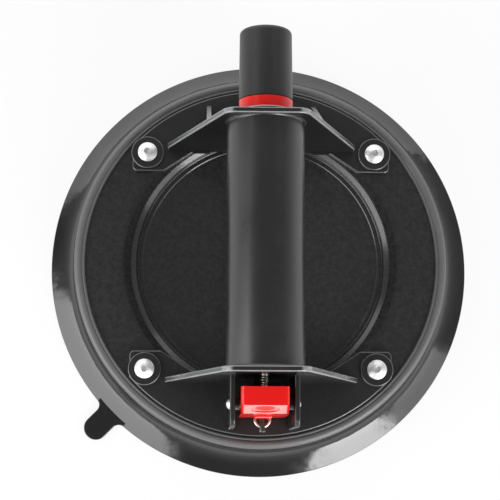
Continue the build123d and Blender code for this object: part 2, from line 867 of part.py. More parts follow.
def release_lever():
    """The red lever: a hollow moulding on a pin, with a lug that holds the vent plug."""
    width = 2 * lever_half_width
    lever = extrude(Plane.YZ.offset(-lever_half_width) * lever_profile(0), width)
    upper = [e for e in lever.edges() if e.center().Z > lever_top - lever_slope_drop]
    sides = [e for e in upper if abs(e.center().X) > lever_half_width / 2]
    lever = fillet(sides, lever_side_round)
    room = 2 * (lever_half_width - lever_wall)
    hollow = extrude(Plane.YZ.offset(-room / 2) * lever_profile(lever_wall), room)
    hollow &= block((-room, room), (lever_front, lever_back), (lever_bottom, lever_top))
    lever -= hollow
    side_x = (-lever_half_width + lever_wall, lever_half_width - lever_wall)
    lever += rod_along_x(pin_y, pin_height, side_x, pin_radius + pin_hub_wall)
    lever += rod_along_y(0, vent_height, (lever_front, lever_back), stem_radius + stem_sleeve_wall)
    low = vent_height - lug_drop
    lug_x = (-lug_half_width, lug_half_width)
    lug = block(lug_x, (lug_face, lever_front), (low, low + 2 * lug_half_height))
    top_edges = lug.edges().group_by(Axis.Z)[-1].group_by(Axis.Y)[0]
    lug = fillet(top_edges, lug_stand_out / 2)
    lever += lug
    lever -= rod_along_x(pin_y, pin_height, (-width, width), pin_radius + pin_clearance)
    through = (lug_face - cut_overrun, lever_back + cut_overrun)
    lever -= rod_along_y(0, vent_height, through, stem_radius + stem_clearance)
    peg = (lever_back, lever_back + spring_peg_length)
    lever += rod_along_y(0, lever_spring_height, peg, spring_peg_radius)
    return lever - thumb_recess()


def lever_pin():
    """The lever's pin: a plain shaft with one domed head."""
    end = cheek_outer + pin_tail
    shaft = rod_along_x(pin_y, pin_height, (-cheek_outer, end), pin_radius)
    head = Rot(0, -90, 0) * dome(pin_head_radius, pin_head_height)
    return shaft + Pos(-cheek_outer, pin_y, pin_height) * head


def pin_cap():
    """The domed cap pressed on the pin's plain end."""
    cap = Rot(0, 90, 0) * dome(pin_radius + pin_cap_wall, pin_cap_height)
    cap = Pos(cheek_outer, pin_y, pin_height) * cap
    return cap - rod_along_x(pin_y, pin_height, (cheek_outer, cheek_outer + pin_tail), pin_radius)


def plug_stem():
    """The stem that ties the vent plug to the lever, with a cross hole for its clip."""
    shaft = rod_along_y(0, vent_height, (stem_end, anchor_y[1]), stem_radius)
    tip = [e for e in shaft.edges() if e.center().Y < stem_end + stem_tip_round]
    stem = fillet(tip, stem_tip_round) + rod_along_y(0, vent_height, anchor_y, plug_anchor_radius)
    across = (-2 * stem_radius, 2 * stem_radius)
    return stem - rod_along_x(clip_pass, vent_height, across, clip_wire_radius + clip_hole_clearance)


def release_plug():
    """The rubber plug that shuts the vent."""
    plug = rod_along_y(0, vent_height, (lever_back, nozzle_face), plug_radius)
    plug -= rod_along_y(0, vent_height, anchor_y, plug_anchor_radius)
    return plug - rod_along_y(0, vent_height, (lever_back - cut_overrun, anchor_y[1]), stem_radius)


def plug_clip():
    """The wire bow through the stem, whose ends bear on the lever's lug."""
    path = ThreePointArc(
        (-clip_bow_radius, lug_face, vent_height),
        (0, clip_pass, vent_height),
        (clip_bow_radius, lug_face, vent_height),
    )
    section = Plane(origin=path @ 0, z_dir=path % 0) * Circle(clip_wire_radius)
    return sweep(section, path)


pieces = {
    "suction_pad": suction_pad,
    "backing_plate": backing_plate,
    "handle_body": handle_body,
    "handle_screws": handle_screws,
    "plate_nuts": plate_nuts,
    "port_seal_ring": port_seal_ring,
    "air_filter": air_filter,
    "barrel_collar": barrel_collar,
    "wiper_ring": wiper_ring,
    "check_valve_seat": check_valve_seat,
    "check_valve_flap": check_valve_flap,
    "return_spring": return_spring,
    "lever_spring": lever_spring,
    "lever_pin": lever_pin,
    "pin_cap": pin_cap,
    "plunger_tube": plunger_tube,
    "indicator_band": indicator_band,
    "plunger_cap": plunger_cap,
    "piston_head": piston_head,
    "piston_seal": piston_seal,
    "piston_screw": piston_screw,
    "release_lever": release_lever,
    "release_plug": release_plug,
    "plug_stem": plug_stem,
    "plug_clip": plug_clip,
}

os.makedirs("parts", exist_ok=True)
for name, make in pieces.items():
    shape = make()
    if isinstance(shape, list):
        shape = Compound(children=shape)
    shape.label = name
    export_step(shape, "parts/" + name + ".step")
    print(name, round(shape.volume, 1))
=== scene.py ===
# %% [markdown]
# # Dressing a floor tile suction lifter
#
# The solids, the mounts and the moving joints of this tool are already packed. This notebook
# loads them as a fixed frame and adds what the eye needs: the grain of the moulded handle, the
# soft sheen of the rubber cup, the bright screws and the coiled springs. A piece that a plain
# solid can't show is made again here as a fine mesh and rides on the same body.

import math

import bmesh
import bpy
import numpy as np
from mathutils import Matrix, Vector


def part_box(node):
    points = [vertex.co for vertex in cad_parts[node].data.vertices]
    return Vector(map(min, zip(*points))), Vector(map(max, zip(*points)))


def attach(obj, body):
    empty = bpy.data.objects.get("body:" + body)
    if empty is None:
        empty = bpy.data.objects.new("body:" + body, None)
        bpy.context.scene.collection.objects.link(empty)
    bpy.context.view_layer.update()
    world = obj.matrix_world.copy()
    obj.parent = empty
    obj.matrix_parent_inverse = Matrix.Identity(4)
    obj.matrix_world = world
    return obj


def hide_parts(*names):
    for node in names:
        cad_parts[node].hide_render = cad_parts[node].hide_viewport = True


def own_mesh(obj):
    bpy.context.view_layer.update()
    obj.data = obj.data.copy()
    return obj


MM = 0.001  # every size below is in metres, so a millimetre is a factor

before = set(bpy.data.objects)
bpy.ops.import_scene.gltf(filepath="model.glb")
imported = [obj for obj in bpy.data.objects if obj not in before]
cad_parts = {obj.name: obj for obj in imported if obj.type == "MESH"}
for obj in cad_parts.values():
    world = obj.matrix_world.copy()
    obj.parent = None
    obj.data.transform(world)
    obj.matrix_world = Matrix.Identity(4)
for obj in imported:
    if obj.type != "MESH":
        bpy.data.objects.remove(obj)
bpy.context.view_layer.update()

# %% [markdown]
# ## Where the camera stands
#
# The picture is nearly a plan view, taken from a little behind the release lever and slightly to
# its left. Fitting the two rims of the cup, the four screws and both ends of the barrel gives one
# point for the camera and one for what it looks at. A long lens keeps the circle round.

# %% Camera
CAMERA_PLACE = Vector((-26.5755, -108.0727, 699.907)) * MM
CAMERA_TARGET = Vector((-4.5954, 9.3922, 0.0)) * MM
CAMERA_ROLL = -0.0025
FOCAL_PIXELS = 1391.24
PICTURE_SIDE = 500
SENSOR_WIDTH = 36.0
NEAREST_SEEN = 0.01

forward = (CAMERA_TARGET - CAMERA_PLACE).normalized()
picture_up = Vector((math.sin(CAMERA_ROLL), math.cos(CAMERA_ROLL), 0.0))
right = forward.cross(picture_up).normalized()
up = right.cross(forward)

camera_data = bpy.data.cameras.new("camera")
camera_data.sensor_width = SENSOR_WIDTH
camera_data.lens = FOCAL_PIXELS * SENSOR_WIDTH / PICTURE_SIDE
camera_data.clip_start = NEAREST_SEEN
camera = bpy.data.objects.new("camera", camera_data)
camera.rotation_mode = "QUATERNION"
camera.rotation_quaternion = Matrix((right, up, -forward)).transposed().to_quaternion()
camera.location = CAMERA_PLACE
bpy.context.scene.collection.objects.link(camera)
bpy.context.scene.camera = camera
bpy.context.scene.view_settings.view_transform = "Standard"
print("lens", round(camera_data.lens, 2), "mm")

# %% [markdown]
# ## Two small tools for shading
#
# Colours are written as the hex values that a picture shows. A renderer adds light, so it needs
# the linear value behind each one. The second tool adds one shader node: it fills what is given
# as a setting and joins what is given as a link, and every material below is made with it.


# %% Colour and node helpers
def linear(code):
    """Each channel of an sRGB hex code, undone by the sRGB curve: an offset and a power of 2.4."""
    srgb = np.array([int(code[i : i + 2], 16) for i in (1, 3, 5)]) / 255
    value = np.where(srgb <= 0.04045, srgb / 12.92, ((srgb + 0.055) / 1.055) ** 2.4)
    return (*value.tolist(), 1.0)


def add_node(tree, kind, settings=None, links=None):
    """One node of a kind, its sockets or properties set by name, its inputs linked by name."""
    made = tree.nodes.new(kind)
    for key, value in (settings or {}).items():
        if isinstance(key, int) or key in made.inputs:
            made.inputs[key].default_value = value
        else:
            setattr(made, key, value)
    for key, source in (links or {}).items():
        tree.links.new(source, made.inputs[key])
    return made


def new_material(name, settings):
    """A material whose one surface shader takes the settings, returned with its node tree."""
    material = bpy.data.materials.new(name)
    material.use_nodes = True
    tree = material.node_tree
    tree.nodes.clear()
    shader = add_node(tree, "ShaderNodeBsdfPrincipled", settings)
    add_node(tree, "ShaderNodeOutputMaterial", links={"Surface": shader.outputs[0]})
    return material, tree, shader


print("white is", linear("#ffffff")[0], "and middle grey", round(linear("#808080")[0], 3))

# %% [markdown]
# ## The room
#
# A black object shows its shape by what it mirrors, so the room matters more than the lamps. Flat
# plates look at the ceiling, and a dim ceiling keeps them black. The grip's flanks look at the
# walls and the ground, so those are nearly white. The world is that room: the direction's height
# picks between the wall's colour and the ceiling's. A ray from the camera sees plain white.

# %% World
ROOM_WALL = linear("#f2f3f5")
ROOM_CEILING = linear("#808183")
ROOM_LEVEL = 0.8
CEILING_START = 0.05
CEILING_FULL = 0.6

world = bpy.data.worlds.new("white_room")
bpy.context.scene.world = world
world.use_nodes = True
room = world.node_tree
room.nodes.clear()
direction = add_node(room, "ShaderNodeTexCoord")
height = add_node(room, "ShaderNodeSeparateXYZ", links={0: direction.outputs["Generated"]})
overhead = add_node(
    room,
    "ShaderNodeMapRange",
    {"From Min": CEILING_START, "From Max": CEILING_FULL},
    {"Value": height.outputs["Z"]},
)
wall_to_ceiling = add_node(
    room,
    "ShaderNodeMix",
    {"data_type": "RGBA", "A": ROOM_WALL, "B": ROOM_CEILING},
    {"Factor": overhead.outputs["Result"]},
)
room_light = add_node(
    room,
    "ShaderNodeBackground",
    {"Strength": ROOM_LEVEL},
    {"Color": wall_to_ceiling.outputs["Result"]},
)
plain_white = add_node(room, "ShaderNodeBackground", {"Color": (1, 1, 1, 1), "Strength": 1.0})
ray = add_node(room, "ShaderNodeLightPath")
seen = add_node(
    room,
    "ShaderNodeMixShader",
    links={0: ray.outputs["Is Camera Ray"], 1: room_light.outputs[0], 2: plain_white.outputs[0]},
)
add_node(room, "ShaderNodeOutputWorld", links={"Surface": seen.outputs[0]})

# %% [markdown]
# ## The ground
#
# The tool lies on white paper. In the picture the ground is pure white, which lamps alone would
# reach only by burning out the object. So rays that come straight from the camera, or mirrored in
# metal, see paper that glows a little. What glows is mixed in by a share, and the rest of the
# paper still takes the object's shadow.

# %% Paper
PAPER_SIDE = 6.0
PAPER_GLOW = 0.87
PAPER_LEVEL = 1.0
PAPER_DROP = 0.1 * MM
PAPER_SHADE = linear("#f1f1f2")

sweep_mesh = bpy.data.meshes.new("white_paper")
half = PAPER_SIDE / 2
corners = [(x * half, y * half, -PAPER_DROP) for x, y in ((-1, -1), (1, -1), (1, 1), (-1, 1))]
sweep_mesh.from_pydata(corners, [], [(0, 1, 2, 3)])
sweep = bpy.data.objects.new("white_paper", sweep_mesh)
bpy.context.scene.collection.objects.link(sweep)

paper, tree, shader = new_material(
    "matt_white_paper", {"Base Color": PAPER_SHADE, "Roughness": 0.9}
)
ray = add_node(tree, "ShaderNodeLightPath")
glow = add_node(tree, "ShaderNodeEmission", {"Color": (1, 1, 1, 1), "Strength": PAPER_LEVEL})
straight = add_node(
    tree,
    "ShaderNodeMath",
    {"operation": "ADD"},
    {0: ray.outputs["Is Camera Ray"], 1: ray.outputs["Is Transmission Ray"]},
)
mirrored = add_node(
    tree,
    "ShaderNodeMath",
    {"operation": "ADD"},
    {0: straight.outputs[0], 1: ray.outputs["Is Glossy Ray"]},
)
share = add_node(
    tree, "ShaderNodeMath", {"operation": "MULTIPLY", 1: PAPER_GLOW}, {0: mirrored.outputs[0]}
)
look = add_node(
    tree,
    "ShaderNodeMixShader",
    links={0: share.outputs[0], 1: shader.outputs[0], 2: glow.outputs[0]},
)
tree.links.new(look.outputs[0], tree.nodes["Material Output"].inputs["Surface"])
sweep_mesh.materials.append(paper)
print("paper", PAPER_SIDE, "m across")

# %% [markdown]
# ## Soft boxes
#
# The bright patches on the rubber have crisp ends, so each one is the image of a lamp with an
# edge. A box is placed by its angle around the tool, counted from +X, and its angle above the
# ground. Its power follows from how bright its face should look: watts are pi times area times
# brightness.


# %% Lamps
def soft_box(name, azimuth, elevation, distance, size, brightness):
    """A rectangular lamp at two angles and a distance, its face turned to the tool."""
    a, e = math.radians(azimuth), math.radians(elevation)
    place = distance * Vector((math.cos(e) * math.cos(a), math.cos(e) * math.sin(a), math.sin(e)))
    lamp = bpy.data.lights.new(name, "AREA")
    lamp.shape = "RECTANGLE"
    lamp.size, lamp.size_y = size
    lamp.energy = math.pi * size[0] * size[1] * brightness
    box = bpy.data.objects.new(name, lamp)
    box.location = place
    box.rotation_mode = "QUATERNION"
    box.rotation_quaternion = (-place).to_track_quat("-Z", "Y")
    box.visible_camera = False
    bpy.context.scene.collection.objects.link(box)


# Azimuth and elevation in degrees, distance and size in metres, and the brightness of the face.
SOFT_BOXES = {
    "west_box": (209, 28, 0.85, (0.86, 0.68), 3.15),
    "south_box": (304, 28, 1.1, (0.44, 0.82), 7.9),
    "south_east_box": (332, 28, 1.1, (0.44, 0.8), 1.7),
    "north_box": (115, 30, 1.3, (1.56, 1.1), 1.3),
    "east_box": (62, 30, 1.3, (0.9, 1.0), 1.05),
}
for name, values in SOFT_BOXES.items():
    soft_box(name, *values)

# %% [markdown]
# ## Moulded plastics
#
# Most of the tool is injection moulded. The mould was spark eroded, which leaves a fine grain, and
# the plastic comes out with slightly cloudy gloss where it flowed and cooled. One function makes
# that finish: a noise at the grain's size for the relief and the tint, and a noise at the size of
# the flow for the gloss. The real grain is about 0.15 mm, too fine for this picture, so each grain
# is drawn a few times coarser.


# %% Moulded finish
FLOW_SIZE = 22.0
NOISE_USUAL = (0.3, 0.7)  # a noise seldom leaves this range, so it is what gets stretched


def moulded(name, shades, gloss, grain, relief, ior, extra=None):
    """Moulded plastic: two shades mixed by the grain, roughness between two values by the flow."""
    settings = {"Base Color": linear(shades[0]), "Roughness": gloss[0], "IOR": ior}
    material, tree, shader = new_material(name, {**settings, **(extra or {})})
    place = add_node(tree, "ShaderNodeTexCoord")
    grains = add_node(
        tree,
        "ShaderNodeTexNoise",
        {"Scale": 1 / (grain * MM), "Detail": 3.0, "Roughness": 0.7},
        {"Vector": place.outputs["Object"]},
    )
    flows = add_node(
        tree,
        "ShaderNodeTexNoise",
        {"Scale": 1 / (FLOW_SIZE * MM), "Detail": 4.0, "Roughness": 0.55},
        {"Vector": place.outputs["Object"]},
    )
    tint = add_node(
        tree,
        "ShaderNodeMix",
        {"data_type": "RGBA", "A": linear(shades[0]), "B": linear(shades[1])},
        {"Factor": grains.outputs[0]},
    )
    dull = add_node(
        tree,
        "ShaderNodeMapRange",
        {
            "From Min": NOISE_USUAL[0],
            "From Max": NOISE_USUAL[1],
            "To Min": gloss[0],
            "To Max": gloss[1],
        },
        {"Value": flows.outputs[0]},
    )
    bump = add_node(
        tree,
        "ShaderNodeBump",
        {"Strength": 1.0, "Distance": relief * MM},
        {"Height": grains.outputs[0]},
    )
    tree.links.new(tint.outputs["Result"], shader.inputs["Base Color"])
    tree.links.new(dull.outputs["Result"], shader.inputs["Roughness"])
    tree.links.new(bump.outputs[0], shader.inputs["Normal"])
    return material


print("moulded finish ready, its flow", FLOW_SIZE, "mm wide")

# %% Plastics
# Glass-filled nylon, spark-eroded mould: a broad, grainy highlight on near black. Carbon black
# and glass raise its index of refraction above plain nylon's 1.53, and the value is then matched
# to how brightly the grip mirrors its lamps.
nylon = moulded(
    "glass_filled_nylon_black_grained", ("#080808", "#242425"), (0.26, 0.36), 1.3, 0.03, 1.76
)
# Polypropylene thimble, finer grain: softer and a little greyer than the nylon.
thimble = moulded(
    "polypropylene_black_matt", ("#0d0d0e", "#262627"), (0.36, 0.46), 1.1, 0.02, 1.6
)
# Acetal ring, polished mould: smooth and waxy, so almost no grain.
collar = moulded("acetal_black_smooth", ("#141414", "#1a1a1b"), (0.3, 0.36), 0.9, 0.006, 1.48)
# Natural acetal, machined: milky white with a faint turning grain.
acetal = moulded(
    "acetal_natural_turned",
    ("#d8d5cb", "#e2dfd6"),
    (0.34, 0.44),
    0.8,
    0.01,
    1.48,
    extra={"Subsurface Weight": 0.2, "Subsurface Radius": (0.002, 0.0018, 0.0014)},
)
# ABS dyed red, polished mould: glossy, so lamps show as pale patches on the slopes.
lever_red = moulded(
    "abs_red_polished", ("#ee100d", "#f81c18"), (0.16, 0.22), 1.2, 0.006, 1.54
)
band_red = moulded("abs_red_satin", ("#f0120f", "#f91e18"), (0.24, 0.3), 1.0, 0.006, 1.54)
print("plastics:", [m.name for m in (nylon, thimble, collar, acetal, lever_red, band_red)])

# %% [markdown]
# ## Painted highlight on the slope
#
# The slope of the lever that the finger presses is painted a paler pink where it faces the
# lamps: a painted reflection of them. Its oval dent, which mirrors darker things, takes little of
# it. The slope is picked by its normal, and the oval by a distance that is divided by the oval's
# half axes. The lever keeps its place in the mesh, so the dent's height is simply its height
# above the ground.

# %% Where the lever's slope takes its painted highlight
SLOPE_HIGHLIGHT_FACING = (0.0, -0.72, 0.69)
SLOPE_HIGHLIGHT_NORMAL = (0.86, 0.95)
SLOPE_HIGHLIGHT_SHARE = 0.7
DENT_HEIGHT = 77.1 * MM
DENT_SIZE = (4.6 * MM, 1.35 * MM)
DENT_EDGE = (0.8, 1.15)
DENT_HIGHLIGHT_SHARE = 0.1

tree = lever_red.node_tree
shader = tree.nodes["Principled BSDF"]
pressed = add_node(
    tree,
    "ShaderNodeVectorMath",
    {"operation": "DOT_PRODUCT", 1: SLOPE_HIGHLIGHT_FACING},
    {0: tree.nodes["Texture Coordinate"].outputs["Normal"]},
)
slope_highlight = add_node(
    tree,
    "ShaderNodeMapRange",
    {"From Min": SLOPE_HIGHLIGHT_NORMAL[0], "From Max": SLOPE_HIGHLIGHT_NORMAL[1], "To Max": SLOPE_HIGHLIGHT_SHARE},
    {"Value": pressed.outputs["Value"]},
)
from_dent = add_node(
    tree,
    "ShaderNodeVectorMath",
    {
        "operation": "MULTIPLY_ADD",
        1: (1 / DENT_SIZE[0], 0.0, 1 / DENT_SIZE[1]),
        2: (0.0, 0.0, -DENT_HEIGHT / DENT_SIZE[1]),
    },
    {0: tree.nodes["Texture Coordinate"].outputs["Object"]},
)
oval = add_node(tree, "ShaderNodeVectorMath", {"operation": "LENGTH"}, {0: from_dent.outputs[0]})
off_dent = add_node(
    tree,
    "ShaderNodeMapRange",
    {"From Min": DENT_EDGE[0], "From Max": DENT_EDGE[1], "To Min": DENT_HIGHLIGHT_SHARE},
    {"Value": oval.outputs["Value"]},
)
print("dent", DENT_SIZE[0] / MM, "by", DENT_SIZE[1] / MM, "mm from its middle")

# %% Colour of the painted highlight
SLOPE_HIGHLIGHT_SHADE = linear("#f8a9a3")

# Painted highlight: the red is mixed towards a pale pink on the slope, standing in for the lamps
# it mirrors; the dent keeps most of the red.
painted_slope_mask = add_node(
    tree,
    "ShaderNodeMath",
    {"operation": "MULTIPLY"},
    {0: slope_highlight.outputs["Result"], 1: off_dent.outputs["Result"]},
)
slope_highlighted_red = add_node(
    tree,
    "ShaderNodeMix",
    {"data_type": "RGBA", "B": SLOPE_HIGHLIGHT_SHADE},
    {"Factor": painted_slope_mask.outputs[0], "A": shader.inputs["Base Color"].links[0].from_socket},
)
tree.links.new(slope_highlighted_red.outputs["Result"], shader.inputs["Base Color"])
print("scuff over", SLOPE_HIGHLIGHT_SHARE, "of the slope")

# %% [markdown]
# ## Painted highlights on the ridges
#
# The handle's thin ribs and ears end in rounded ridges, and every one of them shows as a pale line
# in the picture. A pale grey is painted along them as a painted highlight, and their gloss is
# raised. A ridge is where the surface faces between two main directions, so the largest part of
# its normal is well below one. The barrel is round too, so a distance from its axis leaves it out,
# and so does the normal's share along the slope for the flat top of the end walls' wings. The
# painted highlight is weaker low down, towards the feet, so the height sets how strong it is.

# %% Where a ridge is
RIDGE_NORMAL = (0.985, 0.93)

tree = nylon.node_tree
shader = tree.nodes["Principled BSDF"]
place = tree.nodes["Texture Coordinate"]
facing = add_node(
    tree, "ShaderNodeVectorMath", {"operation": "ABSOLUTE"}, {0: place.outputs["Normal"]}
)
parts = add_node(tree, "ShaderNodeSeparateXYZ", links={0: facing.outputs[0]})
larger = add_node(
    tree, "ShaderNodeMath", {"operation": "MAXIMUM"}, {0: parts.outputs[0], 1: parts.outputs[1]}
)
largest = add_node(
    tree, "ShaderNodeMath", {"operation": "MAXIMUM"}, {0: larger.outputs[0], 1: parts.outputs[2]}
)
ridge = add_node(
    tree,
    "ShaderNodeMapRange",
    {"From Min": RIDGE_NORMAL[0], "From Max": RIDGE_NORMAL[1], "To Max": 1.0},
    {"Value": largest.outputs[0]},
)
print("a ridge is where no part of the normal is above", RIDGE_NORMAL[0])

# %% Where it is left out, and where it fades
WING_SLOPE = (0.926, 0.0, 0.377)
WING_CLEAR = (0.985, 0.997)
WING_HIGHLIGHT_SHARE = 0.15
BARREL_AXIS_HEIGHT = 79.9 * MM
BARREL_CLEAR = (18.2 * MM, 18.8 * MM)
HIGHLIGHT_HEIGHTS = (25.0 * MM, 34.0 * MM)
HIGHLIGHT_LOW = 0.25
RIDGE_HIGHLIGHT_SHARE = 0.8

along_wing = add_node(
    tree,
    "ShaderNodeVectorMath",
    {"operation": "DOT_PRODUCT", 1: WING_SLOPE},
    {0: facing.outputs[0]},
)
tallness = add_node(tree, "ShaderNodeSeparateXYZ", links={0: place.outputs["Object"]})
high_up = add_node(
    tree,
    "ShaderNodeMapRange",
    {
        "From Min": HIGHLIGHT_HEIGHTS[0],
        "From Max": HIGHLIGHT_HEIGHTS[1],
        "To Min": HIGHLIGHT_LOW,
        "To Max": RIDGE_HIGHLIGHT_SHARE,
    },
    {"Value": tallness.outputs["Z"]},
)
off_wing = add_node(
    tree,
    "ShaderNodeMapRange",
    {"From Min": WING_CLEAR[0], "From Max": WING_CLEAR[1], "To Min": 1.0, "To Max": WING_HIGHLIGHT_SHARE},
    {"Value": along_wing.outputs["Value"]},
)
from_axis = add_node(
    tree,
    "ShaderNodeVectorMath",
    {"operation": "MULTIPLY_ADD", 1: (1.0, 0.0, 1.0), 2: (0.0, 0.0, -BARREL_AXIS_HEIGHT)},
    {0: place.outputs["Object"]},
)
away = add_node(tree, "ShaderNodeVectorMath", {"operation": "LENGTH"}, {0: from_axis.outputs[0]})
off_barrel = add_node(
    tree,
    "ShaderNodeMapRange",
    {"From Min": BARREL_CLEAR[0], "From Max": BARREL_CLEAR[1]},
    {"Value": away.outputs["Value"]},
)
clear = add_node(
    tree,
    "ShaderNodeMath",
    {"operation": "MULTIPLY"},
    {0: off_wing.outputs["Result"], 1: off_barrel.outputs["Result"]},
)
share = add_node(
    tree,
    "ShaderNodeMath",
    {"operation": "MULTIPLY"},
    {0: clear.outputs[0], 1: high_up.outputs["Result"]},
)
ridge_highlight_mask = add_node(
    tree,
    "ShaderNodeMath",
    {"operation": "MULTIPLY"},
    {0: ridge.outputs["Result"], 1: share.outputs[0]},
)
print("ridges count from", BARREL_CLEAR[0] / MM, "mm off the barrel's axis")

# %% Painted ridge highlight and gloss
RIDGE_HIGHLIGHT_SHADE = linear("#97989a")
RIDGE_GLOSS = 0.24

# Painted highlight: a pale grey mixed into the black nylon along the ridges, where their rounds
# catch light.
pale = add_node(
    tree,
    "ShaderNodeMix",
    {"data_type": "RGBA", "B": RIDGE_HIGHLIGHT_SHADE},
    {"Factor": ridge_highlight_mask.outputs[0], "A": shader.inputs["Base Color"].links[0].from_socket},
)
polish = add_node(
    tree,
    "ShaderNodeMix",
    {"data_type": "FLOAT", "B": RIDGE_GLOSS},
    {"Factor": ridge_highlight_mask.outputs[0], "A": shader.inputs["Roughness"].links[0].from_socket},
)
tree.links.new(pale.outputs["Result"], shader.inputs["Base Color"])
tree.links.new(polish.outputs["Result"], shader.inputs["Roughness"])
print("ridge shade over", RIDGE_HIGHLIGHT_SHARE, "of the ridge")

# %% [markdown]
# ## Rubbers
#
# The cup is compression moulded nitrile rubber. Out of a polished mould it is black with a wet,
# uneven sheen, because the skin pulls slightly over the thick and thin parts. A soft relief about
# a centimetre wide bends the mirrored lamps, and dust-fine specks dull it. The silicone of the
# valve flap is greyer and duller, and so are the small seals.


# %% Rubber finish
SPECK_SIZE = 0.9
SPECK_RELIEF = 0.006


def rubber(name, shades, gloss, skin, skin_relief, ior=1.55):
    """Moulded rubber: broad skin relief plus fine specks, both noises in the part's own space."""
    material, tree, shader = new_material(
        name, {"Base Color": linear(shades[0]), "Roughness": gloss[0], "IOR": ior}
    )
    place = add_node(tree, "ShaderNodeTexCoord")
    skins = add_node(
        tree,
        "ShaderNodeTexNoise",
        {"Scale": 1 / (skin * MM), "Detail": 2.0, "Roughness": 0.5},
        {"Vector": place.outputs["Object"]},
    )
    specks = add_node(
        tree,
        "ShaderNodeTexNoise",
        {"Scale": 1 / (SPECK_SIZE * MM), "Detail": 2.0, "Roughness": 0.7},
        {"Vector": place.outputs["Object"]},
    )
    tint = add_node(
        tree,
        "ShaderNodeMix",
        {"data_type": "RGBA", "A": linear(shades[0]), "B": linear(shades[1])},
        {"Factor": specks.outputs[0]},
    )
    dull = add_node(
        tree,
        "ShaderNodeMapRange",
        {
            "From Min": NOISE_USUAL[0],
            "From Max": NOISE_USUAL[1],
            "To Min": gloss[0],
            "To Max": gloss[1],
        },
        {"Value": skins.outputs[0]},
    )
    soft = add_node(
        tree,
        "ShaderNodeBump",
        {"Strength": 1.0, "Distance": skin_relief * MM},
        {"Height": skins.outputs[0]},
    )
    fine = add_node(
        tree,
        "ShaderNodeBump",
        {"Strength": 1.0, "Distance": SPECK_RELIEF * MM},
        {"Height": specks.outputs[0], "Normal": soft.outputs[0]},
    )
    tree.links.new(tint.outputs["Result"], shader.inputs["Base Color"])
    tree.links.new(dull.outputs["Result"], shader.inputs["Roughness"])
    tree.links.new(fine.outputs[0], shader.inputs["Normal"])
    return material


cup_rubber = rubber(
    "nitrile_rubber_black_moulded", ("#101011", "#202021"), (0.09, 0.17), 11.0, 0.2, ior=1.72
)
seal_rubber = rubber("nitrile_rubber_black_seal", ("#151516", "#1d1d1e"), (0.4, 0.5), 2.0, 0.02)
valve_rubber = rubber(
    "silicone_rubber_grey_moulded", ("#4a4b4d", "#55565a"), (0.42, 0.52), 2.0, 0.02
)
print("rubbers:", [m.name for m in (cup_rubber, seal_rubber, valve_rubber)])

# %% [markdown]
# ## Painted sheen on the rim
#
# A grey is painted over the bead's black, a painted highlight for its broad sheen. From the steep
# part of the skirt upwards the gloss is dulled, so the bead's highlight is broad while the flat
# skirt below still mirrors the lamps. Both follow the height above the ground.

# %% Painted sheen on the bead
BEAD_SHEEN_SHADE = linear("#666666")
BEAD_SHEEN_HEIGHTS = (20.5 * MM, 24.6 * MM)
BEAD_SHEEN_SHARE = 0.9
DULL_HEIGHTS = (13.0 * MM, 19.0 * MM)
DULL_GLOSS = 0.46

tree = cup_rubber.node_tree
shader = tree.nodes["Principled BSDF"]
parts = add_node(
    tree, "ShaderNodeSeparateXYZ", links={0: tree.nodes["Texture Coordinate"].outputs["Object"]}
)
bead_sheen = add_node(
    tree,
    "ShaderNodeMapRange",
    {"From Min": BEAD_SHEEN_HEIGHTS[0], "From Max": BEAD_SHEEN_HEIGHTS[1], "To Max": BEAD_SHEEN_SHARE},
    {"Value": parts.outputs["Z"]},
)
# Painted highlight: grey mixed over the black rubber on the bead, standing in for its sheen.
bead_sheen_colour = add_node(
    tree,
    "ShaderNodeMix",
    {"data_type": "RGBA", "B": BEAD_SHEEN_SHADE},
    {"Factor": bead_sheen.outputs["Result"], "A": shader.inputs["Base Color"].links[0].from_socket},
)
waxy = add_node(
    tree,
    "ShaderNodeMapRange",
    {"From Min": DULL_HEIGHTS[0], "From Max": DULL_HEIGHTS[1]},
    {"Value": parts.outputs["Z"]},
)
dulled = add_node(
    tree,
    "ShaderNodeMix",
    {"data_type": "FLOAT", "B": DULL_GLOSS},
    {"Factor": waxy.outputs["Result"], "A": shader.inputs["Roughness"].links[0].from_socket},
)
tree.links.new(bead_sheen_colour.outputs["Result"], shader.inputs["Base Color"])
tree.links.new(dulled.outputs["Result"], shader.inputs["Roughness"])
print("bloom from", BEAD_SHEEN_HEIGHTS[0] / MM, "mm up")

# %% [markdown]
# ## Painted plate
#
# The plate is pressed steel with black stoving enamel. The enamel levels out to a satin gloss with
# a slight orange peel, ripples about 1.5 mm apart, and its sheen is cloudy with dust: one noise
# from 2.4 mm clouds down to 0.3 mm specks, all nearly equally strong.

# %% Enamel
PEEL_SIZE = 1.5
PEEL_RELIEF = 0.012
CLOUD_SIZE = 2.4
ENAMEL_SHADES = ("#030303", "#3c3c3c")
ENAMEL_GLOSS = (0.15, 0.23)

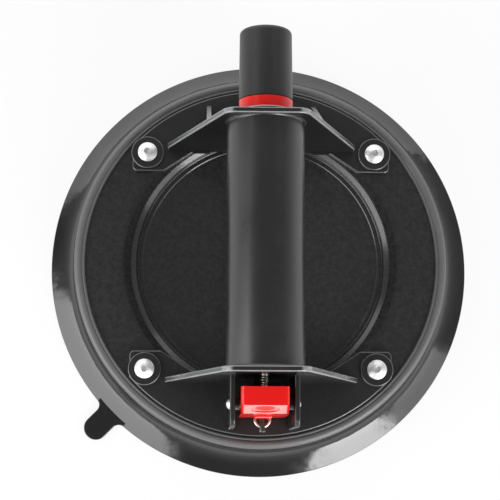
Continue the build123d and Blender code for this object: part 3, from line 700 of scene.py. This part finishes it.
enamel, tree, shader = new_material(
    "stoving_enamel_black_on_steel",
    {"Base Color": linear("#0e0e0f"), "Roughness": 0.2, "IOR": 1.7},
)
place = add_node(tree, "ShaderNodeTexCoord")
peel = add_node(
    tree,
    "ShaderNodeTexNoise",
    {"Scale": 1 / (PEEL_SIZE * MM), "Detail": 1.0},
    {"Vector": place.outputs["Object"]},
)
dust = add_node(
    tree,
    "ShaderNodeTexNoise",
    {"Scale": 1 / (CLOUD_SIZE * MM), "Detail": 3.0, "Roughness": 0.8},
    {"Vector": place.outputs["Object"]},
)
tint = add_node(
    tree,
    "ShaderNodeMix",
    {"data_type": "RGBA", "A": linear(ENAMEL_SHADES[0]), "B": linear(ENAMEL_SHADES[1])},
    {"Factor": dust.outputs[0]},
)
dull = add_node(
    tree,
    "ShaderNodeMapRange",
    {
        "From Min": NOISE_USUAL[0],
        "From Max": NOISE_USUAL[1],
        "To Min": ENAMEL_GLOSS[0],
        "To Max": ENAMEL_GLOSS[1],
    },
    {"Value": dust.outputs[0]},
)
ripple = add_node(
    tree,
    "ShaderNodeBump",
    {"Strength": 1.0, "Distance": PEEL_RELIEF * MM},
    {"Height": peel.outputs[0]},
)
tree.links.new(tint.outputs["Result"], shader.inputs["Base Color"])
tree.links.new(dull.outputs["Result"], shader.inputs["Roughness"])
tree.links.new(ripple.outputs[0], shader.inputs["Normal"])
print("enamel ripples", PEEL_SIZE, "mm apart")


# %% [markdown]
# ## Bright steel
#
# The screws, the pin and its cap are chrome plated to a satin, the nuts are zinc plated, and the
# stem is blackened in oil. The springs and the clip are drawn wire, with marks about 0.3 mm long.
# Each has one noise at the size of its marks, in a relief of a few thousandths of a millimetre.
# Metals keep the shader's own index of refraction.


# %% Metals
def metal(name, shades, gloss, lay, relief):
    """Solid metal: the noise at the size of its tool marks mixes the shades and the roughness."""
    material, tree, shader = new_material(
        name, {"Base Color": linear(shades[0]), "Roughness": gloss[0], "Metallic": 1.0}
    )
    place = add_node(tree, "ShaderNodeTexCoord")
    marks = add_node(
        tree,
        "ShaderNodeTexNoise",
        {"Scale": 1 / (lay * MM), "Detail": 4.0, "Roughness": 0.6},
        {"Vector": place.outputs["Object"]},
    )
    tint = add_node(
        tree,
        "ShaderNodeMix",
        {"data_type": "RGBA", "A": linear(shades[0]), "B": linear(shades[1])},
        {"Factor": marks.outputs[0]},
    )
    dull = add_node(
        tree,
        "ShaderNodeMapRange",
        {
            "From Min": NOISE_USUAL[0],
            "From Max": NOISE_USUAL[1],
            "To Min": gloss[0],
            "To Max": gloss[1],
        },
        {"Value": marks.outputs[0]},
    )
    bump = add_node(
        tree,
        "ShaderNodeBump",
        {"Strength": 1.0, "Distance": relief * MM},
        {"Height": marks.outputs[0]},
    )
    tree.links.new(tint.outputs["Result"], shader.inputs["Base Color"])
    tree.links.new(dull.outputs["Result"], shader.inputs["Roughness"])
    tree.links.new(bump.outputs[0], shader.inputs["Normal"])
    return material


chrome = metal("chrome_plate_satin", ("#ededee", "#fafafa"), (0.44, 0.58), 0.8, 0.006)
zinc = metal("zinc_plate_passivated", ("#a9a79f", "#bdbab0"), (0.3, 0.42), 0.6, 0.006)
blacked = metal("steel_pin_oil_blacked", ("#5d605c", "#73766f"), (0.26, 0.36), 0.8, 0.006)
spring_wire = metal("spring_steel_drawn", ("#dcd8cf", "#ece8e0"), (0.26, 0.38), 0.3, 0.004)
print("metals:", [m.name for m in (chrome, zinc, blacked, spring_wire)])

# %% [markdown]
# ## Felt and foam
#
# Two soft rings hide inside. The wiper is pressed felt, short wool fibres about 0.2 mm thick that
# lie every way, drawn here at twice that size. The filter is open foam with cells of about 0.8 mm.
# Both are matt, so a noise and a cell pattern in strong relief are all they need.

# %% Felt
FIBRE_SIZE = 0.4
FIBRE_RELIEF = 0.15

felt, tree, shader = new_material(
    "wool_felt_pressed", {"Base Color": linear("#8a8578"), "Roughness": 0.95, "Sheen Weight": 0.3}
)
place = add_node(tree, "ShaderNodeTexCoord")
fibres = add_node(
    tree,
    "ShaderNodeTexNoise",
    {"Scale": 1 / (FIBRE_SIZE * MM), "Detail": 6.0, "Roughness": 0.8},
    {"Vector": place.outputs["Object"]},
)
tint = add_node(
    tree,
    "ShaderNodeMix",
    {"data_type": "RGBA", "A": linear("#6f6a5e"), "B": linear("#a19b8c")},
    {"Factor": fibres.outputs[0]},
)
fuzz = add_node(
    tree,
    "ShaderNodeBump",
    {"Strength": 1.0, "Distance": FIBRE_RELIEF * MM},
    {"Height": fibres.outputs[0]},
)
tree.links.new(tint.outputs["Result"], shader.inputs["Base Color"])
tree.links.new(fuzz.outputs[0], shader.inputs["Normal"])
print("felt fibres", FIBRE_SIZE, "mm")

# %% Foam
CELL_SIZE = 0.8
CELL_RELIEF = 0.3

foam, tree, shader = new_material(
    "polyurethane_foam_open_cell", {"Base Color": linear("#5c5c5a"), "Roughness": 0.9}
)
place = add_node(tree, "ShaderNodeTexCoord")
cells = add_node(
    tree,
    "ShaderNodeTexVoronoi",
    {"Scale": 1 / (CELL_SIZE * MM)},
    {"Vector": place.outputs["Object"]},
)
tint = add_node(
    tree,
    "ShaderNodeMix",
    {"data_type": "RGBA", "A": linear("#333332"), "B": linear("#747471")},
    {"Factor": cells.outputs["Distance"]},
)
pores = add_node(
    tree,
    "ShaderNodeBump",
    {"Strength": 1.0, "Distance": CELL_RELIEF * MM},
    {"Height": cells.outputs["Distance"]},
)
tree.links.new(tint.outputs["Result"], shader.inputs["Base Color"])
tree.links.new(pores.outputs[0], shader.inputs["Normal"])
print("foam cells", CELL_SIZE, "mm")

# %% [markdown]
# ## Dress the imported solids
#
# Each solid keeps its mesh and takes its finish in its material slot. One line for each finish
# names the solids that have it, so it is easy to see that none is left plain.


# %% Finishes by node
def dress(material, *nodes):
    """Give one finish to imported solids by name."""
    for name in nodes:
        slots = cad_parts[name].data.materials
        slots.clear()
        slots.append(material)


dress(nylon, "handle_body")
dress(thimble, "plunger_cap")
dress(collar, "barrel_collar")
dress(acetal, "plunger_tube", "piston_head", "check_valve_seat")
dress(lever_red, "release_lever")
dress(band_red, "indicator_band")
dress(cup_rubber, "suction_pad")
dress(seal_rubber, "port_seal_ring", "piston_seal", "release_plug")
dress(valve_rubber, "check_valve_flap")
dress(enamel, "backing_plate")
dress(chrome, "handle_screws", "lever_pin", "pin_cap")
dress(blacked, "plug_stem")
dress(zinc, "plate_nuts", "piston_screw")
dress(spring_wire, "return_spring", "lever_spring", "plug_clip")
dress(felt, "wiper_ring")
dress(foam, "air_filter")
print("dressed", len(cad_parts), "nodes")

# %% [markdown]
# ## From numbers to a mesh
#
# Every new shape below is a grid of points: one parameter runs along the shape and one around it.
# The grid's rows and columns give the faces, so whole arrays do the work. Where a row shrinks to
# one point, its doubles are merged, which closes the pole.


# %% Grid meshes
SAME_POINT = 1e-6


def grid_mesh(name, points):
    """Faces between neighbours in a grid of points, its last column joined to its first."""
    rows, columns = points.shape[:2]
    index = np.arange(rows * columns).reshape(rows, columns)
    index = np.hstack([index, index[:, :1]])
    faces = np.stack([index[:-1, :-1], index[:-1, 1:], index[1:, 1:], index[1:, :-1]], axis=-1)
    mesh = bpy.data.meshes.new(name)
    mesh.from_pydata(points.reshape(-1, 3), [], faces.reshape(-1, 4).tolist())
    shell = bmesh.new()
    shell.from_mesh(mesh)
    bmesh.ops.remove_doubles(shell, verts=shell.verts, dist=SAME_POINT)
    bmesh.ops.recalc_face_normals(shell, faces=shell.faces)
    shell.to_mesh(mesh)
    shell.free()
    mesh.shade_smooth()
    return mesh


def grid_piece(name, points, material, body):
    """A grid's mesh as an object that carries a finish and rides on a body."""
    mesh = grid_mesh(name, points)
    mesh.materials.append(material)
    piece = bpy.data.objects.new(name, mesh)
    bpy.context.scene.collection.objects.link(piece)
    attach(piece, body)
    return piece


print("grid pieces ready")


# %% Round wire
WIRE_SIDES = 16


def wire(path, side, radius, cap_rows=5):
    """A round section carried along a path: centre plus radius times cosine of the angle along the
    side vector and sine along its cross product with the path. Rows that shrink by a quarter
    circle close both ends."""
    run = np.gradient(path, axis=0)
    run /= np.linalg.norm(run, axis=1, keepdims=True)
    rise = np.cross(run, side)
    lean = np.linspace(0, np.pi / 2, cap_rows + 1)
    size = np.concatenate([np.cos(lean[:0:-1]), np.ones(len(path)), np.cos(lean[1:])])
    pick = np.clip(np.arange(-cap_rows, len(path) + cap_rows), 0, len(path) - 1)
    along = np.concatenate([-np.sin(lean[:0:-1]), np.zeros(len(path)), np.sin(lean[1:])])
    centre = path[pick] + run[pick] * (along * radius)[:, None]
    turn = np.linspace(0, 2 * np.pi, WIRE_SIDES, endpoint=False)
    ring = side[pick, None] * np.cos(turn)[:, None] + rise[pick, None] * np.sin(turn)[:, None]
    return centre[:, None] + ring * (size * radius)[:, None, None]


print("wire of", WIRE_SIDES, "sides ready")

# %% [markdown]
# ## Springs
#
# A compression spring isn't a plain helix: its first and last turn lie flat against their seats,
# and only the middle climbs. So the angle runs evenly and the climb per turn is a function of it,
# one wire thickness at the ends and more between, added up and scaled to the spring's length.


# %% Coil springs
STEPS_PER_TURN = 72
END_CLIMB = 0.16  # how fast an end turn climbs, against the middle's 1
END_TURNS = 0.9
END_SOFTNESS = 1 / 9


def spring(node, coil_radius, wire_radius, turns):
    """A coil along Y in its node's box: the angle is even, and the climb is a running sum of a
    step that is low within the end turns and rises to 1 by a logistic curve."""
    low, high = (np.array(corner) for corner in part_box(node))
    middle = (low + high) / 2
    count = int(turns * STEPS_PER_TURN)
    share = np.linspace(0, 1, count)
    angle = 2 * np.pi * turns * share
    ends = np.minimum(share, 1 - share) * turns
    climb = END_CLIMB + (1 - END_CLIMB) / (1 + np.exp(-(ends - END_TURNS) / END_SOFTNESS))
    rise = np.concatenate([[0], np.cumsum((climb[1:] + climb[:-1]) / 2)])
    y = low[1] + wire_radius + (high[1] - low[1] - 2 * wire_radius) * rise / rise[-1]
    side = np.stack([np.cos(angle), np.zeros(count), np.sin(angle)], axis=1)
    axis = np.stack([np.full(count, middle[0]), y, np.full(count, middle[2])], axis=1)
    coil = wire(side * coil_radius + axis, side, wire_radius)
    piece = grid_piece(node + "_wire", coil, spring_wire, "base")
    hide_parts(node)
    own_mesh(piece)
    length = (high[1] - low[1]) / MM
    print(node, "pitch", round(length / turns, 2), "mm over", round(length, 1), "mm")


spring("return_spring", 10.8 * MM, 0.7 * MM, 5.5)
spring("lever_spring", 1.7 * MM, 0.25 * MM, 6.5)

# %% [markdown]
# ## Wire clip
#
# A bow of spring wire passes through the stem and bears on the lever's lug. The path is half a
# circle from side to side of the clip's box, and its ends are closed almost flat against the lug.

# %% Clip
CLIP_WIRE = 0.65 * MM
CLIP_STEPS = 60

low, high = (np.array(corner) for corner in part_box("plug_clip"))
bow = (high[0] - low[0]) / 2 - CLIP_WIRE
angle = np.linspace(0, np.pi, CLIP_STEPS)
side = np.stack([np.cos(angle), -np.sin(angle), np.zeros(CLIP_STEPS)], axis=1)
path = side * bow + np.array([(low[0] + high[0]) / 2, high[1], (low[2] + high[2]) / 2])
bent = wire(path, side, CLIP_WIRE, cap_rows=1)
clip = grid_piece("plug_clip_wire", bent, spring_wire, "lever")
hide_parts("plug_clip")
print("clip bow", round(bow / MM, 2), "mm")

# %% [markdown]
# ## The cup's outline
#
# The pad is turned about its axis from one outline. It starts at the middle of the seat under the
# plate, follows that seat to the plate's rim, climbs over the lip and the bead, runs down the
# skirt to the thin edge, and comes back along the sealing land and the cup's roof. The skirt and
# the cup's wall are Bezier curves: steep under the bead, flat at the edge.


# %% Curves for the outline
def bezier(points, count):
    """The cubic curve: four points weighted by the terms of ((1 - t) + t) cubed, t from 0 to 1."""
    t = np.linspace(0, 1, count)[:, None]
    a, b, c, d = (np.array(p, float) for p in points)
    return (1 - t) ** 3 * a + 3 * (1 - t) ** 2 * t * b + 3 * (1 - t) * t**2 * c + t**3 * d


def arc(centre, radius, start, end, count):
    """Points on a circle, centre plus radius times cosine and sine of an angle in degrees."""
    a = np.radians(np.linspace(start, end, count))
    return np.stack([centre[0] + radius * np.cos(a), centre[1] + radius * np.sin(a)], axis=1)


def line(*corners, steps):
    """Straight runs between corners, each cut into a few steps so that long faces shade evenly."""
    runs = [np.linspace(a, b, steps, endpoint=False) for a, b in zip(corners, corners[1:])]
    return np.vstack(runs + [[corners[-1]]])


def groove(inner, outer, depth, lip):
    """A shallow groove in the sealing land, its corners broken by a short slope, outside first."""
    outside = [(outer + lip, 0), (outer, lip), (outer, depth)]
    return outside + [(inner, depth), (inner, lip), (inner - lip, 0)]


print("curves ready")

# %% [markdown]
# ## The cup's skin
#
# Two things keep the rubber from looking machined. Its edges are rounded by a few tenths, since a
# mould can't fill a sharp corner. And the skirt is never exact: some long waves around the pad
# lift it by a few hundredths of a millimetre, and they bend the mirrored lamps, which a perfect
# turned shape would draw as perfect arcs. The waves fade out at the sealing land, which must stay
# flat.

# %% Outline of the cup, in mm
GROOVE_DEPTH = 0.7
GROOVE_LIP = 0.15

SEAT = line(
    (0, 13.95), (62.7, 13.95), (63.3, 16.9), (65.3, 18.25), (69.0, 19.95), (88.1, 19.95), steps=6
)
GAP = np.array([(88.1, 22.45), (86.4, 22.45)])
LIP = bezier([(86.4, 23.2), (86.5, 24.25), (87.5, 24.2), (87.82, 23.7)], 9)
BEAD = arc((89.6, 22.4), 2.2, 143.8, 0, 20)
SKIRT = bezier([(91.8, 22.4), (91.85, 8.9), (92.3, 6.9), (104.7, 1.62)], 52)
EDGE = arc((104.5, 1.1), 0.5, 80, 0, 6)
FOOT = arc((104.7, 0.3), 0.3, 0, -90, 4)
GROOVES = [groove(a, b, GROOVE_DEPTH, GROOVE_LIP) for a, b in ((99.2, 100.4), (95.6, 96.8))]
LAND = np.vstack([[(104.7, 0)], *GROOVES, [(93.2, 0)]])
WALL = bezier([(93.0, 0.05), (90.84, 4.41), (87.0, 9.45), (81.0, 10.5)], 16)
ROOF = line((80.0, 10.5), (0, 10.5), steps=12)
OUTLINE = np.vstack([SEAT, GAP, LIP, BEAD[1:], SKIRT[1:], EDGE, FOOT, LAND, WALL, ROOF])
print("outline points:", len(OUTLINE))

# %% Turn the cup's skin
PAD_SIDES = 512
WAVE_START = 90.0
WAVE_END = 104.0
WAVE_LOWEST = 1.2
WAVE_LEAN = 0.05  # how far a wave turns for each millimetre outwards
WAVES = (  # waves in one turn, height in mm, shift
    (3, 0.05, 0.3),
    (5, 0.05, 2.1),
    (8, 0.04, 4.4),
    (13, 0.035, 1.2),
    (21, 0.03, 5.3),
    (34, 0.02, 3.1),
)

around = np.linspace(0, 2 * np.pi, PAD_SIDES, endpoint=False)
radius, height = OUTLINE[:, :1], OUTLINE[:, 1:]
span = np.clip((radius - WAVE_START) / (WAVE_END - WAVE_START), 0, 1)
swell = np.sin(np.pi * span) * (height > WAVE_LOWEST)
turned = WAVE_LEAN * radius
wave = sum(size * np.cos(count * around + shift + turned) for count, size, shift in WAVES)
surface = np.stack(
    [radius * np.cos(around), radius * np.sin(around), height + swell * wave],
    axis=-1,
)
pad = grid_piece("suction_pad_skin", surface * MM, cup_rubber, "base")
print("skin faces:", len(pad.data.polygons))

# %% [markdown]
# ## Openings in the cup
#
# Air leaves the cup through a port below the pump's inlet, and a round recess around it holds the
# filter. Four pockets in the seat make room for the nuts. Each opening is a turned plug, and an
# exact boolean takes the plugs away. They stand a little proud of the surface that they enter, so
# that no two faces lie in one plane.

# %% Port, recess and pockets, in mm
PORT = (0.0, -53.1)
PORT_OUTLINE = [(0, 9.5), (8.0, 9.5), (8.0, 12.5), (2.5, 12.5), (2.5, 15.0), (0, 15.0)]
NUT_OUTLINE = [(0, 15.3), (5.32, 15.3), (5.32, 21.0), (0, 21.0)]
NUT_PLACES = [(x * 56.27, y * 53.58) for x in (-1, 1) for y in (-1, 1)]
PLUG_SIDES = 64


def plug(outline, place):
    """An outline turned about an upright axis: radius times cosine and sine, height kept."""
    angle = np.linspace(0, 2 * np.pi, PLUG_SIDES, endpoint=False)
    radius, height = np.array(outline, float)[:, :1], np.array(outline, float)[:, 1:]
    x, y = place[0] + radius * np.cos(angle), place[1] + radius * np.sin(angle)
    return np.stack([x, y, np.broadcast_to(height, x.shape)], axis=-1) * MM


plugs = [plug(PORT_OUTLINE, PORT)] + [plug(NUT_OUTLINE, place) for place in NUT_PLACES]
print("plugs:", len(plugs))

# %% Cut the openings
SHARP_ANGLE = 38

stack = bmesh.new()
for points in plugs:
    stack.from_mesh(grid_mesh("plug", points))
plug_mesh = bpy.data.meshes.new("plugs")
stack.to_mesh(plug_mesh)
stack.free()
plug_piece = bpy.data.objects.new("plugs", plug_mesh)
bpy.context.scene.collection.objects.link(plug_piece)
cut = pad.modifiers.new("openings", "BOOLEAN")
cut.operation, cut.solver, cut.object = "DIFFERENCE", "EXACT", plug_piece
bpy.context.view_layer.update()
opened = bpy.data.meshes.new_from_object(pad.evaluated_get(bpy.context.evaluated_depsgraph_get()))
opened.set_sharp_from_angle(angle=math.radians(SHARP_ANGLE))
pad.modifiers.clear()
pad.data = opened
bpy.data.objects.remove(plug_piece)
print("openings:", len(plugs), "and faces now", len(opened.polygons))

# %% [markdown]
# ## Pull tab
#
# A tab on the edge breaks the seal by hand. Its plan is a finger with two hollow arcs at the root.
# The same plan is stacked in layers that are drawn in by a quarter circle at the top and the
# bottom, which rounds the rim, and two flat faces close it.

# %% Plan of the tab, in mm
TAB_DIRECTION = 225.0
TAB_HALF_WIDTH = 6.0
TAB_LENGTH = 15.5
TAB_ROOT = 3.5
TAB_SINK = 4.5
TAB_ROOT_EXTRA = 0.2
PAD_EDGE = 105.0

root_y = TAB_HALF_WIDTH + TAB_ROOT
root_x = math.sqrt((PAD_EDGE + TAB_ROOT) ** 2 - root_y**2)
reach = math.degrees(math.atan2(root_y, root_x))
inner_y = root_y * PAD_EDGE / (PAD_EDGE + TAB_ROOT) + TAB_ROOT_EXTRA
half_plan = np.vstack(
    [
        [(PAD_EDGE - TAB_SINK, inner_y)],
        arc((root_x, root_y), TAB_ROOT, 180 + reach, 270, 14),
        arc((PAD_EDGE + TAB_LENGTH - TAB_HALF_WIDTH, 0), TAB_HALF_WIDTH, 90, 0, 24),
    ]
)
plan = np.vstack([half_plan, half_plan[-2::-1] * (1, -1)])
print("plan points:", len(plan))

# %% Stack the tab's layers
TAB_LOW, TAB_HIGH = 0.5, 2.3
TAB_ROUND = 0.5
TAB_LAYERS = 11

tangent = np.roll(plan, -1, axis=0) - np.roll(plan, 1, axis=0)
tangent /= np.linalg.norm(tangent, axis=1, keepdims=True)
inward = np.stack([tangent[:, 1], -tangent[:, 0]], axis=1)
lean = np.radians(np.linspace(-90, 90, TAB_LAYERS))
inset = TAB_ROUND * (1 - np.cos(lean))
level = np.where(lean < 0, TAB_LOW + TAB_ROUND, TAB_HIGH - TAB_ROUND) + TAB_ROUND * np.sin(lean)
layers = plan[None] + inward[None] * inset[:, None, None]
turn = math.radians(TAB_DIRECTION)
x = layers[..., 0] * math.cos(turn) - layers[..., 1] * math.sin(turn)
y = layers[..., 0] * math.sin(turn) + layers[..., 1] * math.cos(turn)
z = np.broadcast_to(level[:, None], x.shape)
points = np.stack([x, y, z], axis=-1) * MM
tab = grid_piece("pull_tab_skin", points, cup_rubber, "base")
shell = bmesh.new()
shell.from_mesh(tab.data)
bmesh.ops.holes_fill(shell, edges=[edge for edge in shell.edges if edge.is_boundary], sides=0)
bmesh.ops.recalc_face_normals(shell, faces=shell.faces)
shell.to_mesh(tab.data)
shell.free()
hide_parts("suction_pad")
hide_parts("suction_pad")
print("tab faces:", len(tab.data.polygons))
